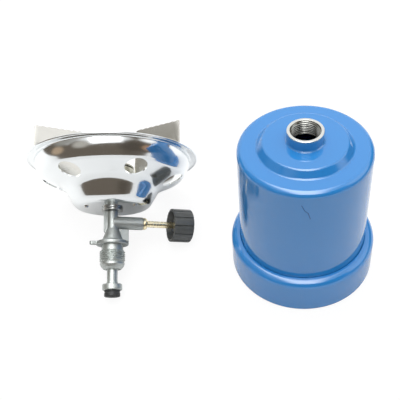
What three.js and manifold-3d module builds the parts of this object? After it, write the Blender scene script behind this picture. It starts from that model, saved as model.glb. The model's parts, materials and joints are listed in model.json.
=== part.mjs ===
// Camping gas stove, taken apart as it is packed away. The cartridge holder stands upright, and the
// burner unit lies beside it on the rim of its dish, its rubber tip and its knob.
// Millimetres, +Z up. The origin is where the holder's axis meets the floor.
import * as THREE from "three";
import { mergeVertices } from "three/addons/utils/BufferGeometryUtils.js";
import Module from "manifold-3d";

const wasm = await Module();
wasm.setup();

// Fits and cuts
const seatGap = 0.3; // between two pieces that bear on each other
const slideGap = 0.5; // around the holder's body in the mouth of its base
const cutOverrun = 1; // how far a cutter runs past the face it opens

// Cartridge holder
const bodyRadius = 47; // takes a cartridge of 90 mm diameter
const bodyTopHeight = 113.9; // floor to the flat outer ring of the top
const shellWall = 1;
const bodyEdgeRadius = 2.5; // round between wall and top
const discRadius = 29.5; // raised disc in the top, at its upper edge
const discRise = 5.9;
const discRampRun = 4.5; // how far the ramp under the disc's edge runs out
const discBend = 1.4;
const baseRadius = 54;
const baseHeight = 29.7;
const baseWall = 1;
const baseShoulderRadius = 5;
const baseLipRadius = 1.3; // round where the shoulder turns down beside the body
const baseLipDepth = 4.3;
const baseFootRadius = 2.2;

// Threaded collar in the holder's top
const collarWall = 2.35; // from the thread's root to the outside
const collarStand = 9.3; // above the raised disc
const collarChamfer = 0.8;
const collarWeld = 0.9; // weld fillet at its foot
const spigotWall = 1.1; // of its lower end, which goes through the shell
const spigotLipReach = 0.7; // how far the swaged lower end turns out
const spigotLipThickness = 0.8;
const washerRadius = 17;
const washerThickness = 1.2;

// Screw thread that joins the burner unit to the collar
const threadRadius = 10;
const threadDepth = 0.9;
const threadPitch = 1.5;
const valveThreadTurns = 6;

// Rubber tip seal, piercing needle and filter
const sealRadius = 6.2;
const sealLength = 4.8;
const sealEdgeRadius = 0.8;
const sealHoleGap = 0.6; // around the needle
const sealSpigotStep = 1.3; // how much thinner the part in the casting's socket is
const sealSpigotLength = 2;
const needleRadius = 1.7;
const needleBore = 0.5;
const needleInset = 0.9; // its point behind the seal's face
const needlePointLength = 2.4;
const needleLength = 11;
const filterLength = 3.9;

// Valve casting, from the tip upwards
const tipCollarRadius = 7.7;
const tipCollarLength = 4.9;
const tipCollarEdge = 1;
const neckRadius = 4.1;
const neckLength = 11.2;
const neckFillet = 1.2;
const noseRadius = 6.8; // lower end of the screw plug
const noseShoulderRadius = 8.4;
const noseShoulderRise = 1.6;
const noseRise = 3.6;
const shankRadius = 9.5;
const shankLength = 2;
const reliefRadius = 8.4; // plain neck between thread and flange
const reliefLength = 4.5;
const flangeRadius = 12.7;
const flangeThickness = 3;
const flangeEdge = 0.8;
const coneFootRadius = 7.6;
const coneLength = 10.5;
const stemRadius = 4.3;
const stemRise = 3.9; // above the side arm's top
const stubRadius = 3.4; // top end, which holds the jet
const stubLength = 2.3;
const gasBoreRadius = 1.1;
const finReach = 6.8; // rib opposite the side arm
const finLength = 16.5;
const ribThickness = 2;
const webReach = 12.9; // rib between flange and side arm
const lugReach = 18; // stop lug on the flange
const lugWidth = 3.6;
const lugThickness = 2.8;

// Side arm, spindle and knob
const armRise = 15.3; // flange top to the arm's axis
const armRadius = 5.1;
const armLength = 24.3;
const armWall = 0.9;
const armEdge = 0.4;
const glandSpigotLength = 4.6;
const glandHeadLength = 2.9;
const glandHeadRadius = 4.75;
const glandTaper = 0.8;
const spindleRadius = 2.6;
const spindleReach = 20.3; // bare length between gland and knob
const spindleThreadRadius = 3.4;
const spindleLand = 1;
const spindleTravel = 1.5; // opens in one and a half turns
const seatDistance = 6.2; // valve axis to the valve seat
const seatBoreRadius = 1.2;
const plugRadius = 1.9; // cone that closes the seat
const plugLength = 3.8;
const plugDip = 1.6; // how far its point enters the seat
const ringSection = 0.65; // radius of the rubber ring's section
const outletRadius = 0.6;
const outletClimb = 6.3; // inner end of the outlet above the arm's axis
const knobRadius = 13.5;
const knobLength = 16.3;
const knobWall = 2.2;
const knobWeb = 3.4;
const knobRound = 1.4;
const knobFaceEdge = 0.6;
const knobHubWall = 2.4;
const knobHubInset = 2.5;
const knobGrip = 11; // how much of the spindle sits in the knob
const fluteRadius = 1;
const fluteDepth = 0.6;
const fluteCount = 12;

// Jet and mixing tube
const jetBore = 0.4;
const jetThreadRadius = 1.6;
const jetThreadLength = 1.7;
const jetHeadRadius = 2.8;
const jetHeadLength = 1.5;
const jetNoseLength = 1.2;
const crownRadius = 8.4; // air intake under the dish
const crownHeight = 2.2;
const crownFloor = 0.5;
const crownRoof = 0.5;
const crownWall = 1.2;
const windowCount = 6;
const windowWidth = 4.6;
const tubeRadius = 6.5;
const tubeWall = 1.2;
const tubeLength = 19; // above the crown

// Dish, measured on its outside
const cupFootRadius = 27.2;
const cupFootBend = 7;
const cupTopRadius = 37.3;
const cupTopBend = 6;
const cupDepth = 17.9;
const bowlRadius = 57.4;
const bowlBend = 6;
const bowlRise = 9.2;
const creaseRadius = 62.3;
const creaseBend = 1.5;
const wallRise = 11.5;
const rimRadius = 68.4;
const rimRise = 0.5;
const rimBead = 0.9; // radius of the rolled edge
const dishWall = 1;
const ventRadius = 8.75;
const ventSpread = 31.2; // degrees from the middle between two pan supports, to either side
const ventTurn = -2; // degrees that the vents are turned from that middle
const ventPlaceShare = 0.465; // of the way up the bowl's slope
const nutHeight = 3.2;
const nutSides = 6;
const nutFlatsShare = 1.32; // of the tube's diameter
const dishTurn = 189.7; // degrees from the side arm to the first pan support

// Burner head
const hubWall = 1.6;
const hubLength = 6;
const headRadius = 17; // outside of the burner's cup
const headWall = 1;
const headFlare = 7;
const headBend = 3;
const headRimHeight = 5.2;
const flameRingWave = 0.9;
const flameRingStrip = 0.5;
const flameRingHeight = 4.6;
const flameRingWaves = 24;
const capThickness = 1.2;
const capCrown = 1.6;
const capLip = 1.4;
const capLipDepth = 1.6;

// Pan supports
const bladeCount = 3;
const bladeThickness = 1.5;
const bladeRise = 20.8; // above the dish's rim
const bladeOuterInset = 4; // behind the rim's edge
const bladeHeadGap = 3.4; // inner edge to the burner's head
const bladeLean = 4; // how much further out the inner edge is at the top
const tabLength = 3;
const tabDrop = 1;
const toothPitch = 5;
const toothDepth = 0.7;
const toothLand = 1.5; // flat top of a tooth, which the pan stands on

// Where the burner unit lies
const layGap = 37.62; // sideways, between the knob and the base, clear of both
const layBack = 25.15; // its tip in front of the holder's axis
const layYaw = -5.4; // degrees from square

// Facets of a round piece
const wideSides = 36;
const middleSides = 28;
const smallSides = 20;
const tinySides = 12;
const bendSteps = 2;
const beadSteps = 5;
const ringPoints = 8;
const wavePoints = 3;
const fluteSides = 6;
const beadOpening = Math.PI / 3; // angle where the sheet enters its rolled edge
const bendRoomShare = 0.96; // of a straight, that the bends at its ends may take
const leastBendShare = 0.1; // of a bend, left on the inner face of its sheet

// Heights in the holder
const discTop = bodyTopHeight + discRise;
const collarTop = discTop + collarStand;
const washerTop = discTop - shellWall;
const washerFoot = washerTop - washerThickness;
const bodyFoot = baseWall;
const collarRoot = threadRadius + seatGap; // root radius of the collar's thread
const collarCrest = collarRoot - threadDepth;
const collarRadius = collarRoot + collarWall;
const spigotRadius = collarRoot + spigotWall;

// Heights in the burner unit, from the rubber tip up along the valve's axis
const socketFace = sealLength + seatGap;
const socketTop = socketFace + sealSpigotLength + seatGap;
const neckFoot = socketFace + tipCollarLength;
const noseFoot = neckFoot + neckLength;
const shankFoot = noseFoot + noseRise;
const threadFoot = shankFoot + shankLength;
const threadTop = threadFoot + valveThreadTurns * threadPitch;
const flangeFoot = threadTop + reliefLength;
const flangeTop = flangeFoot + flangeThickness;
const armHeight = flangeTop + armRise;
const stemTop = armHeight + armRadius + stemRise;
const stubTop = stemTop + stubLength;
const crownFoot = stemTop + seatGap;
const crownTop = crownFoot + crownHeight;
const dishFloor = crownTop + seatGap;
const cupTop = dishFloor + cupDepth;
const bowlTop = cupTop + bowlRise;
const creaseHeight = bowlTop + wallRise;
const rimHeight = creaseHeight + rimRise;
const tubeTop = crownTop + tubeLength;
const needleTop = needleInset + needleLength;
const filterFoot = needleTop + seatGap;
const filterTop = filterFoot + filterLength;

// Places along the side arm, from the valve's axis
const glandFace = armLength + seatGap;
const glandEnd = glandFace + glandHeadLength;
const glandInner = armLength - glandSpigotLength;
const knobFace = glandEnd + spindleReach;
const knobEnd = knobFace + knobLength;
const plugFoot = seatDistance + plugLength - plugDip;
const landEnd = glandInner - seatGap - spindleTravel;
const grooveWidth = 2 * ringSection + 2 * seatGap;
const grooveStart = landEnd - spindleLand - grooveWidth;
const chamberRadius = spindleThreadRadius + seatGap;
const gripEnd = knobFace + knobGrip;
const grooveRadius = chamberRadius - 2 * seatGap - 2 * ringSection;

// Places in the dish and the burner head
const headFlareTop = tubeTop + headFlare;
const flameRingFoot = headFlareTop + headWall + seatGap;
const flameRingCentre = headRadius - headWall - seatGap - flameRingWave - flameRingStrip / 2;
const bladeInner = headRadius + bladeHeadGap;
const bladeOuter = rimRadius - bladeOuterInset;
const bladeTop = rimHeight + bladeRise;
const dishAngle = THREE.MathUtils.degToRad(dishTurn);

// How the burner unit lies. The dish's rolled rim and the tip seal's edge are two rings about the
// valve's axis, and both touch the floor: that gives the tilt. The knob's round edge touches it
// too, and that gives the turn about the axis.
const rimRing = { radius: rimRadius - rimBead, height: rimHeight, round: rimBead };
const tipRing = { radius: sealRadius - sealEdgeRadius, height: sealEdgeRadius, round: sealEdgeRadius };
const ringRise = rimRing.height - tipRing.height;
const ringGrowth = rimRing.radius - tipRing.radius;
const roundGrowth = rimRing.round - tipRing.round;
const layTilt = Math.atan2(ringGrowth, ringRise) + Math.asin(roundGrowth / Math.hypot(ringGrowth, ringRise));
const layTipHeight =
  tipRing.round + tipRing.radius * Math.cos(layTilt) - tipRing.height * Math.sin(layTilt);
const knobRing = { radius: knobRadius - knobRound, reach: knobEnd - knobRound };
const armAbove = layTipHeight + armHeight * Math.sin(layTilt) - knobRound;
const knobSpan = Math.hypot(knobRing.reach, knobRing.radius);
const armDip =
  (armAbove * knobRing.reach - knobRing.radius * Math.sqrt(knobSpan ** 2 - armAbove ** 2)) / knobSpan ** 2;
const laySpin = Math.asin(armDip / Math.cos(layTilt));
const layTipX = -(baseRadius + layGap + knobEnd * Math.cos(laySpin));
const lowestAngle = Math.PI / 2 - laySpin;
const knobLowestAngle = Math.atan2(Math.cos(laySpin) * Math.cos(layTilt), Math.sin(layTilt));

// Colours and finishes
const finishes = {
  enamel: { color: 0x3f86d8, roughness: 0.18, metalness: 0 },
  zinc: { color: 0xd4d6d4, roughness: 0.28, metalness: 1 },
  casting: { color: 0xc3c7c6, roughness: 0.42, metalness: 1 },
  chrome: { color: 0xe4e7e8, roughness: 0.12, metalness: 1 },
  steel: { color: 0xbfc1bf, roughness: 0.35, metalness: 1 },
  galvanised: { color: 0xb4b2aa, roughness: 0.45, metalness: 1 },
  brass: { color: 0xd9c07c, roughness: 0.3, metalness: 1 },
  rubber: { color: 0x2b2d2e, roughness: 0.7, metalness: 0 },
  plastic: { color: 0x232526, roughness: 0.45, metalness: 0 },
};

// Reads a corner list as a path: each corner is [radius, height, bend], and a bend rounds the corner.
function rounded(corners) {
  const points = corners.map(([x, y]) => new THREE.Vector2(x, y));
  const legs = points.slice(1).map((point, index) => point.clone().sub(points[index]));
  const halves = points.map((point, index) => {
    const inner = index > 0 && index < points.length - 1;
    return inner ? (Math.PI - Math.abs(legs[index - 1].angleTo(legs[index]))) / 2 : Math.PI / 2;
  });
  const reaches = corners.map((corner, index) => (corner[2] ?? 0) / Math.tan(halves[index]));
  legs.forEach((leg, index) => {
    const used = reaches[index] + reaches[index + 1];
    const room = leg.length() * bendRoomShare;
    if (used > room) {
      reaches[index] *= room / used;
      reaches[index + 1] *= room / used;
    }
  });
  return points.flatMap((point, index) => {
    const reach = reaches[index];
    if (!(corners[index][2] > 0) || index === 0 || index === points.length - 1) {
      return [point];
    }
    const start = legs[index - 1].clone().setLength(-reach).add(point);
    const end = legs[index].clone().setLength(reach).add(point);
    const radius = reach * Math.tan(halves[index]);
    const centre = start.clone().add(end).multiplyScalar(1 / 2).sub(point);
    centre.setLength(Math.hypot(reach, radius)).add(point);
    return arc(centre, radius, start, end);
  });
}

// Points on a circle's shorter way from one point to another.
function arc(centre, radius, start, end) {
  const from = start.clone().sub(centre).angle();
  let sweep = end.clone().sub(centre).angle() - from;
  sweep -= 2 * Math.PI * Math.round(sweep / (2 * Math.PI));
  return Array.from({ length: bendSteps + 1 }, (_, step) => {
    const angle = from + (sweep * step) / bendSteps;
    return new THREE.Vector2(radius * Math.cos(angle), radius * Math.sin(angle)).add(centre);
  });
}

// Moves a corner list to its left, as the other face of a bent sheet.
function offsetCorners(corners, distance) {
  const normals = corners.slice(1).map((corner, index) => {
    const run = new THREE.Vector2(corner[0] - corners[index][0], corner[1] - corners[index][1]);
    return new THREE.Vector2(-run.y, run.x).normalize();
  });
  return corners.map(([x, y, bend], index) => {
    const before = normals[Math.max(index - 1, 0)];
    const after = normals[Math.min(index, normals.length - 1)];
    const miter = before.clone().add(after).normalize();
    const reach = distance / miter.dot(before);
    const innerBend = bend - Math.sign(before.cross(after)) * distance;
    const newBend = bend ? Math.max(innerBend, bend * leastBendShare) : 0;
    return [x + miter.x * reach, y + miter.y * reach, newBend];
  });
}

// Section of a bent sheet: its outer face, then its inner face on the way back.
function sheetSection(corners, thickness) {
  return [...rounded(corners), ...rounded(offsetCorners(corners, thickness)).reverse()];
}

// Section of a screw thread, drawn as one ring for each turn.
function threadSection(root, crest, foot, turns) {
  return Array.from({ length: turns }, (_, turn) => [
    [root, foot + turn * threadPitch],
    [crest, foot + (turn + 1 / 2) * threadPitch],
  ]).flat();
}

// Turns a section about Z. It runs counterclockwise, with the radius to the right and height up.
function turned(section, sides, startAngle = 0) {
  const points = section.map((point) => (Array.isArray(point) ? new THREE.Vector2(...point) : point));
  const first = points[0];
  const last = points[points.length - 1];
  const closed = first.x === 0 && last.x === 0 ? points : [...points, first.clone()];
  const phase = startAngle + Math.PI / 2;
  return new THREE.LatheGeometry(closed, sides, phase).rotateX(Math.PI / 2);
}

function rod(radius, foot, top, sides) {
  return turned([[0, foot], [radius, foot], [radius, top], [0, top]], sides);
}

// Puts a piece that was turned about Z on the side arm's axis.
function alongArm(geometry) {
  return geometry.rotateY(Math.PI / 2).translate(0, 0, armHeight);
}

// A flat plate in the XZ plane, centred on it.
function uprightPlate(outline, thickness) {
  const shape = new THREE.Shape(outline.map(([x, y]) => new THREE.Vector2(x, y)));
  const geometry = new THREE.ExtrudeGeometry(shape, { depth: thickness, bevelEnabled: false });
  return geometry.rotateX(Math.PI / 2).translate(0, thickness / 2, 0);
}

// A geometry as a solid that can be joined and cut.
function solidOf(geometry) {
  const bare = geometry.clone();
  bare.deleteAttribute("normal");
  bare.deleteAttribute("uv");
  const merged = mergeVertices(bare);
  const corners = merged.index.array;
  const faces = [];
  for (let start = 0; start < corners.length; start += 3) {
    const [a, b, c] = corners.slice(start, start + 3);
    if (a !== b && b !== c && c !== a) {
      faces.push(a, b, c);
    }
  }
  const vertProperties = new Float32Array(merged.attributes.position.array);
  const mesh = new wasm.Mesh({ numProp: 3, vertProperties, triVerts: new Uint32Array(faces) });
  return new wasm.Manifold(mesh);
}

function shaped(base, added, removed) {
  let solid = solidOf(base);
  added.forEach((geometry) => {
    solid = solid.add(solidOf(geometry));
  });
  removed.forEach((geometry) => {
    solid = solid.subtract(solidOf(geometry));
  });
  const { vertProperties, triVerts } = solid.getMesh();
  const geometry = new THREE.BufferGeometry();
  geometry.setAttribute("position", new THREE.BufferAttribute(vertProperties, 3));
  geometry.setIndex(new THREE.BufferAttribute(triVerts, 1));
  geometry.computeVertexNormals();
  return geometry;
}

function piece(name, geometry, finish) {
  const mesh = new THREE.Mesh(geometry, new THREE.MeshStandardMaterial(finish));
  mesh.name = name;
  return mesh;
}

function around(count, make) {
  return Array.from({ length: count }, (_, index) => make((2 * Math.PI * index) / count, index));
}

// Cartridge holder

function baseCap() {
  const mouth = bodyRadius + slideGap;
  const corners = [
    [0, 0],
    [baseRadius, 0, baseFootRadius],
    [baseRadius, baseHeight, baseShoulderRadius],
    [mouth, baseHeight, baseLipRadius],
    [mouth, baseHeight - baseLipDepth],
  ];
  return piece("base_cap", turned(sheetSection(corners, baseWall), wideSides), finishes.enamel);
}

function holderShell() {
  const corners = [
    [bodyRadius, bodyFoot],
    [bodyRadius, bodyTopHeight, bodyEdgeRadius],
    [discRadius + discRampRun, bodyTopHeight, discBend],
    [discRadius, discTop, discBend],
    [spigotRadius + seatGap, discTop],
  ];
  return piece("holder_shell", turned(sheetSection(corners, shellWall), wideSides), finishes.enamel);
}

function threadedCollar() {
  const spigotEnd = washerFoot - spigotLipThickness;
  const turns = Math.floor((collarTop - spigotEnd) / threadPitch) - 1;
  const outside = rounded([
    [collarRoot, spigotEnd],
    [spigotRadius + spigotLipReach, spigotEnd],
    [spigotRadius + spigotLipReach, washerFoot],
    [spigotRadius, washerFoot],
    [spigotRadius, discTop],
    [collarRadius + collarWeld, discTop],
    [collarRadius, discTop + collarWeld],
    [collarRadius, collarTop, collarChamfer],
    [collarRoot, collarTop],
  ]);
  const threadEnd = collarTop - threadDepth;
  const thread = threadSection(collarRoot, collarCrest, threadEnd - turns * threadPitch, turns).reverse();
  return piece("threaded_collar", turned([...outside, ...thread], middleSides), finishes.zinc);
}

function collarWasher() {
  const hole = spigotRadius + seatGap;
  const section = [
    [hole, washerFoot],
    [washerRadius, washerFoot],
    [washerRadius, washerTop],
    [hole, washerTop],
  ];
  return piece("collar_washer", turned(section, middleSides), finishes.zinc);
}

// Valve

function needleSeal() {
  const spigot = sealRadius - sealSpigotStep;
  const hole = needleRadius + sealHoleGap;
  const section = rounded([
    [hole, 0],
    [sealRadius, 0, sealEdgeRadius],
    [sealRadius, sealLength],
    [spigot, sealLength],
    [spigot, sealLength + sealSpigotLength],
    [hole, sealLength + sealSpigotLength],
  ]);
  return piece("needle_seal", turned(section, smallSides, lowestAngle), finishes.rubber);
}

function piercingNeedle() {
  const section = [
    [needleBore, needleInset],
    [needleRadius, needleInset + needlePointLength],
    [needleRadius, needleTop],
    [needleBore, needleTop],
  ];
  return piece("piercing_needle", turned(section, tinySides), finishes.steel);
}

function inletFilter() {
  return piece("inlet_filter", rod(needleRadius, filterFoot, filterTop, tinySides), finishes.brass);
}

function castingTurned() {
  return turned(
    rounded([
      [0, socketFace],
      [tipCollarRadius, socketFace, tipCollarEdge],
      [tipCollarRadius, neckFoot, tipCollarEdge],
      [neckRadius, neckFoot, neckFillet],
      [neckRadius, noseFoot],
      [noseRadius, noseFoot],
      [noseShoulderRadius, noseFoot + noseShoulderRise],
      [shankRadius, shankFoot],
      ...threadSection(threadRadius - threadDepth, threadRadius, threadFoot, valveThreadTurns),
      [threadRadius - threadDepth, threadTop],
      [reliefRadius, threadTop],
      [reliefRadius, flangeFoot],
      [flangeRadius, flangeFoot, flangeEdge],
      [flangeRadius, flangeTop, flangeEdge],
      [coneFootRadius, flangeTop],
      [stemRadius, flangeTop + coneLength],
      [stemRadius, stemTop],
      [stubRadius, stemTop],
      [stubRadius, stubTop],
      [0, stubTop],
    ]),
    smallSides,
  );
}

function stopLug() {
  const half = lugWidth / 2;
  const shape = new THREE.Shape();
  shape.moveTo(0, -half);
  shape.lineTo(0, half);
  shape.lineTo(half - lugReach, half);
  shape.absarc(half - lugReach, 0, half, Math.PI / 2, (3 * Math.PI) / 2);
  const options = { depth: lugThickness, bevelEnabled: false, curveSegments: bendSteps };
  const foot = flangeFoot + (flangeThickness - lugThickness) / 2;
  return new THREE.ExtrudeGeometry(shape, options).translate(0, 0, foot);
}

function valveBody() {
  const arm = rounded([[0, 0], [armRadius, 0], [armRadius, armLength, armEdge], [0, armLength]]);
  const fin = [
    [0, stemTop],
    [-finReach, stemTop],
    [-finReach, stemTop - finLength],
    [0, stemTop - finLength - finReach],
  ];
  const web = [
    [0, flangeTop - flangeEdge],
    [webReach, flangeTop - flangeEdge],
    [webReach, armHeight],
    [0, armHeight],
  ];
  const added = [
    alongArm(turned(arm, smallSides)),
    uprightPlate(fin, ribThickness),
    uprightPlate(web, ribThickness),
    stopLug(),
  ];
  const socket = sealRadius - sealSpigotStep + seatGap;
  const gasTop = armHeight + seatBoreRadius;
  const glandBore = armRadius - armWall;
  const armMouth = armLength + cutOverrun;
  const jetFoot = stubTop - jetThreadLength - seatGap;
  const outletRise = chamberRadius - outletRadius;
  const outletStart = new THREE.Vector3(seatDistance + outletRadius, 0, armHeight + outletRise);
  const outletEnd = new THREE.Vector3(0, 0, armHeight + outletClimb);
  const removed = [
    rod(socket, socketFace - cutOverrun, socketTop, smallSides),
    rod(needleRadius + seatGap, socketFace, filterTop + seatGap, tinySides),
    rod(gasBoreRadius, filterTop, gasTop, tinySides),
    alongArm(rod(seatBoreRadius, 0, seatDistance + cutOverrun, tinySides)),
    alongArm(rod(chamberRadius, seatDistance, armMouth, smallSides)),
    alongArm(rod(glandBore, glandInner - seatGap, armMouth, smallSides)),
    rod(jetThreadRadius + seatGap, jetFoot, stubTop + cutOverrun, tinySides),
    drillBetween(outletStart, outletEnd, outletRadius),
    rod(gasBoreRadius, outletEnd.z - outletRadius, jetFoot + seatGap, tinySides),
  ];
  return piece("valve_body", shaped(castingTurned(), added, removed), finishes.casting);
}

function drillBetween(start, end, radius) {
  const run = end.clone().sub(start);
  const turn = new THREE.Quaternion().setFromUnitVectors(new THREE.Vector3(0, 0, 1), run.clone().normalize());
  const drill = rod(radius, 0, run.length(), tinySides).applyQuaternion(turn);
  return drill.translate(start.x, start.y, start.z);
}

function packingGland() {
  const hole = spindleRadius + seatGap;
  const spigot = armRadius - armWall - seatGap;
  const section = [
    [hole, glandInner],
    [spigot, glandInner],
    [spigot, glandFace],
    [glandHeadRadius, glandFace],
    [glandHeadRadius, glandEnd - glandTaper],
    [glandHeadRadius - glandTaper, glandEnd],
    [hole, glandEnd],
  ];
  return piece("packing_gland", alongArm(turned(section, smallSides)), finishes.brass);
}

function spindle() {
  const section = [
    [0, seatDistance - plugDip],
    [plugRadius, plugFoot],
    [spindleThreadRadius, plugFoot],
    [spindleThreadRadius, grooveStart],
    [grooveRadius, grooveStart],
    [grooveRadius, grooveStart + grooveWidth],
    [spindleThreadRadius, grooveStart + grooveWidth],
    [spindleThreadRadius, landEnd],
    [spindleRadius, landEnd],
    [spindleRadius, gripEnd],
    [0, gripEnd],
  ];
  return piece("spindle", alongArm(turned(section, smallSides)), finishes.brass);
}

function spindleRing() {
  const centre = grooveRadius + seatGap + ringSection;
  const middle = grooveStart + grooveWidth / 2;
  const section = around(ringPoints, (angle) => [
    centre + ringSection * Math.cos(angle),
    middle + ringSection * Math.sin(angle),
  ]);
  return piece("spindle_o_ring", alongArm(turned(section, smallSides)), finishes.rubber);
}

function knob() {
  const bore = spindleRadius + seatGap;
  const hub = bore + knobHubWall;
  const inside = knobRadius - knobWall;
  const section = rounded([
    [0, gripEnd + seatGap],
    [bore, gripEnd + seatGap],
    [bore, knobFace + knobHubInset],
    [hub, knobFace + knobHubInset],
    [hub, knobEnd - knobWeb],
    [inside, knobEnd - knobWeb],
    [inside, knobFace],
    [knobRadius, knobFace, knobFaceEdge],
    [knobRadius, knobEnd, knobRound],
    [0, knobEnd],
  ]);
  const fluteFoot = knobFace - cutOverrun;
  const fluteTop = knobEnd + cutOverrun;
  const fluteCentre = knobRadius + fluteRadius - fluteDepth;
  const flutes = around(fluteCount, (angle) => {
    const direction = knobLowestAngle + angle + Math.PI / fluteCount;
    const flute = rod(fluteRadius, fluteFoot, fluteTop, fluteSides);
    return flute.translate(fluteCentre * Math.cos(direction), fluteCentre * Math.sin(direction), 0);
  });
  const geometry = shaped(turned(section, middleSides, knobLowestAngle), [], flutes);
  return piece("knob", alongArm(geometry), finishes.plastic);
}

// Jet, mixing tube and dish

function gasJet() {
  const headFoot = stubTop + seatGap;
  const headTop = headFoot + jetHeadLength;
  const section = [
    [jetBore, stubTop - jetThreadLength],
    [jetThreadRadius, stubTop - jetThreadLength],
    [jetThreadRadius, headFoot],
    [jetHeadRadius, headFoot],
    [jetHeadRadius, headTop],
    [jetThreadRadius, headTop + jetNoseLength],
    [jetBore, headTop + jetNoseLength],
  ];
  return piece("gas_jet", turned(section, tinySides), finishes.brass);
}

function mixingTube() {
  const crownInside = crownRadius - crownWall;
  const tubeInside = tubeRadius - tubeWall;
  const floorTop = crownFoot + crownFloor;
  const roofFoot = crownTop - crownRoof;
  const section = [
    [stubRadius + seatGap, crownFoot],
    [crownRadius, crownFoot],
    [crownRadius, crownTop],
    [tubeRadius, crownTop],
    [tubeRadius, tubeTop],
    [tubeInside, tubeTop],
    [tubeInside, roofFoot],
    [crownInside, roofFoot],
    [crownInside, floorTop],
    [stubRadius + seatGap, floorTop],
  ];
  const length = crownRadius + cutOverrun - jetHeadRadius;
  const windows = around(windowCount / 2, (angle) => {
    const window = new THREE.BoxGeometry(2 * (jetHeadRadius + length), windowWidth, roofFoot - floorTop);
    return window.translate(0, 0, (roofFoot + floorTop) / 2).rotateZ(angle / 2);
  });
  return piece("mixing_tube", shaped(turned(section, middleSides), [], windows), finishes.steel);
}

// Corners of the dish's outside, from its centre hole to the middle of its rim bead.
function dishCorners() {
  return [
    [tubeRadius + seatGap, dishFloor],
    [cupFootRadius, dishFloor, cupFootBend],
    [cupTopRadius, cupTop, cupTopBend],
    [bowlRadius, bowlTop, bowlBend],
    [creaseRadius, creaseHeight, creaseBend],
    [rimRadius - rimBead, rimHeight - dishWall / 2],
  ];
}

function dish() {
  const bead = new THREE.Vector2(rimRadius - rimBead, rimHeight);
  const beadArc = Array.from({ length: beadSteps + 1 }, (_, step) => {
    const angle = beadOpening / 2 - Math.PI + ((2 * Math.PI - beadOpening) * step) / beadSteps;
    return new THREE.Vector2(rimBead * Math.cos(angle), rimBead * Math.sin(angle)).add(bead);
  });
  const under = rounded(dishCorners()).slice(0, -1);
  const over = rounded(offsetCorners(dishCorners(), dishWall)).slice(0, -1).reverse();
  const blank = turned([...under, ...beadArc, ...over], wideSides, lowestAngle);
  const slope = new THREE.Vector2(bowlRadius - cupTopRadius, bowlRise);
  const place = new THREE.Vector2(cupTopRadius, cupTop).addScaledVector(slope, ventPlaceShare);
  const lean = Math.atan2(slope.x, slope.y) - Math.PI / 2;
  const vent = (angle) => {
    const depth = dishWall + cutOverrun;
    const drill = rod(ventRadius, -depth, depth, smallSides).rotateY(lean);
    return drill.translate(place.x, 0, place.y).rotateZ(angle);
  };
  const spread = THREE.MathUtils.degToRad(ventSpread);
  const vents = around(bladeCount, (angle) => {
    const middle = dishAngle + angle + Math.PI / bladeCount + THREE.MathUtils.degToRad(ventTurn);
    return [vent(middle - spread), vent(middle + spread)];
  }).flat();
  const slots = around(bladeCount, (angle) => {
    const width = bladeThickness + 2 * seatGap;
    const slot = new THREE.BoxGeometry(tabLength + 2 * seatGap, width, 2 * (dishWall + cutOverrun));
    return slot.translate(bladeInner + tabLength / 2, 0, dishFloor).rotateZ(dishAngle + angle);
  });
  return piece("dish", shaped(blank, [], [...vents, ...slots]), finishes.chrome);
}

function dishLockNut() {
  const foot = dishFloor + dishWall + seatGap;
  const corner = (tubeRadius * nutFlatsShare) / Math.cos(Math.PI / nutSides);
  const corners = around(nutSides, (angle) => [corner * Math.cos(angle), corner * Math.sin(angle)]);
  const shape = new THREE.Shape(corners.map(([x, y]) => new THREE.Vector2(x, y)));
  shape.holes.push(new THREE.Path().absarc(0, 0, tubeRadius + seatGap, 0, 2 * Math.PI));
  const options = { depth: nutHeight, bevelEnabled: false, curveSegments: smallSides / 2 };
  const geometry = new THREE.ExtrudeGeometry(shape, options);
  return piece("dish_lock_nut", geometry.translate(0, 0, foot), finishes.zinc);
}

// Burner head

function burnerCup() {
  const hole = tubeRadius + seatGap;
  const hub = hole + hubWall;
  const ledge = tubeTop + seatGap;
  const section = rounded([
    [hole, tubeTop - hubLength],
    [hub, tubeTop - hubLength],
    [hub, tubeTop],
    [headRadius, headFlareTop, headBend],
    [headRadius, headFlareTop + headRimHeight],
    [headRadius - headWall, headFlareTop + headRimHeight],
    [headRadius - headWall, headFlareTop + headWall],
    [tubeRadius - tubeWall, ledge + headWall],
    [tubeRadius - tubeWall, ledge],
    [hole, ledge],
  ]);
  return piece("burner_cup", turned(section, middleSides), finishes.brass);
}

function flameRing() {
  const outer = flameRingCentre + flameRingStrip / 2;
  const inner = flameRingCentre - flameRingStrip / 2;
  const wave = (radius) =>
    around(flameRingWaves * wavePoints, (angle) => {
      const reach = radius + flameRingWave * Math.cos(flameRingWaves * angle);
      return new THREE.Vector2(reach * Math.cos(angle), reach * Math.sin(angle));
    });
  const shape = new THREE.Shape(wave(outer));
  shape.holes.push(new THREE.Path(wave(inner)));
  const geometry = new THREE.ExtrudeGeometry(shape, { depth: flameRingHeight, bevelEnabled: false });
  return piece("burner_flame_ring", geometry.translate(0, 0, flameRingFoot), finishes.steel);
}

function burnerCap() {
  const foot = flameRingFoot + flameRingHeight + seatGap;
  const lip = flameRingCentre - flameRingWave - flameRingStrip / 2 - seatGap;
  const section = [
    [0, foot],
    [lip - capLip, foot],
    [lip - capLip, foot - capLipDepth],
    [lip, foot - capLipDepth],
    [lip, foot],
    [headRadius, foot],
    [headRadius, foot + capThickness],
    [lip, foot + capThickness + capCrown],
    [0, foot + capThickness + capCrown],
  ];
  return piece("burner_cap", turned(section, middleSides), finishes.brass);
}

// Pan supports

function heightOn(path, radius) {
  const next = path.findIndex((point) => point.x >= radius);
  const low = path[next - 1];
  const high = path[next];
  return low.y + ((high.y - low.y) * (radius - low.x)) / (high.x - low.x);
}

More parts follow.
